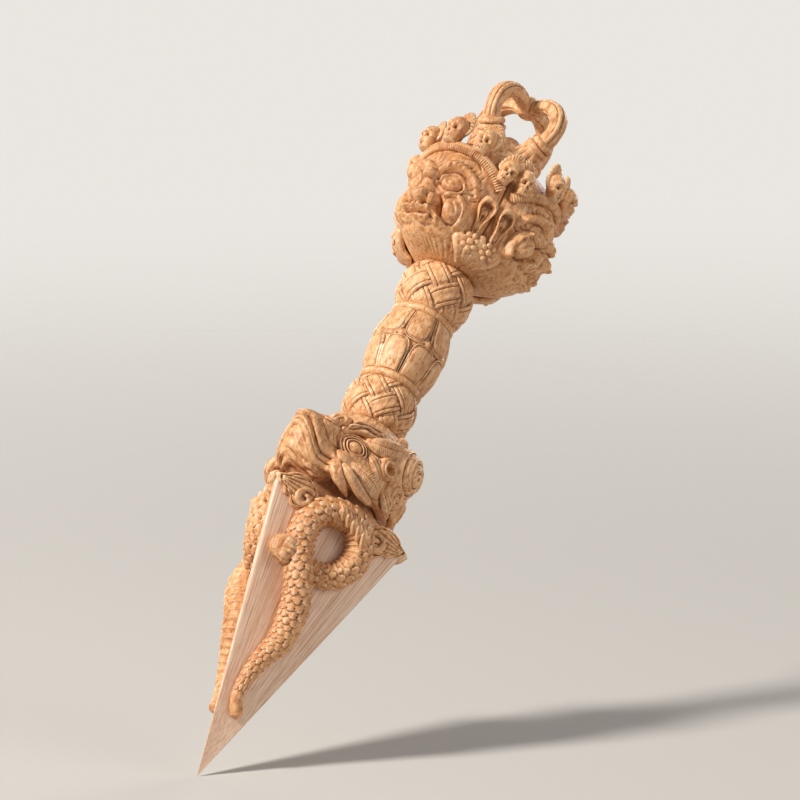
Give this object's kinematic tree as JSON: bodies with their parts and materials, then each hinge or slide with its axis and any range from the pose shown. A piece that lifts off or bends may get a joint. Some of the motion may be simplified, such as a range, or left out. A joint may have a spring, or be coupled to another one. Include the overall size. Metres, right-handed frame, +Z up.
{
  "type": "three-sided ritual peg",
  "caption": "Hand-carved wooden ritual peg: three-sided blade with snakes, water monster's head, knotted handle, wrathful heads with skull crowns and an open pronged finial.",
  "frame": {"origin": "the point of the blade, on the long axis", "axes": "+Z runs up the long axis from the blade's point to the finial; -Y is the side that the water monster's snout and the front head face; +X is to the right as someone who faces the front, with the finial up, sees it, and completes a right-handed frame"},
  "size_m": [0.0394, 0.0395, 0.1801],
  "materials": {
    "carved_wood": "fine-grained pale wood, carved, sanded and waxed to a soft satin",
    "dowel_wood": "plain turned hardwood, unfinished"
  },
  "bodies": {
    "root": {"blade": "carved_wood", "corner_leaves": "carved_wood", "snake_front_right": "carved_wood", "snake_back": "carved_wood", "snake_front_left": "carved_wood", "makara_head": "carved_wood", "makara_lip": "carved_wood", "makara_eyes": "carved_wood", "makara_fangs": "carved_wood", "makara_ears": "carved_wood", "makara_mane": "carved_wood", "lower_knot": "carved_wood", "lower_collar": "carved_wood", "lotus_barrel": "carved_wood", "upper_collar": "carved_wood", "upper_knot": "carved_wood", "head_front": "carved_wood", "head_right": "carved_wood", "head_left": "carved_wood", "ears": "carved_wood", "earrings": "carved_wood", "hair_locks": "carved_wood", "crown_front": "carved_wood", "crown_right": "carved_wood", "crown_left": "carved_wood", "finial_hub": "carved_wood", "prong_front": "carved_wood", "prong_right": "carved_wood", "prong_back": "carved_wood", "prong_left": "carved_wood", "finial_button": "carved_wood", "dowel": "dowel_wood"}
  },
  "joints": []
}
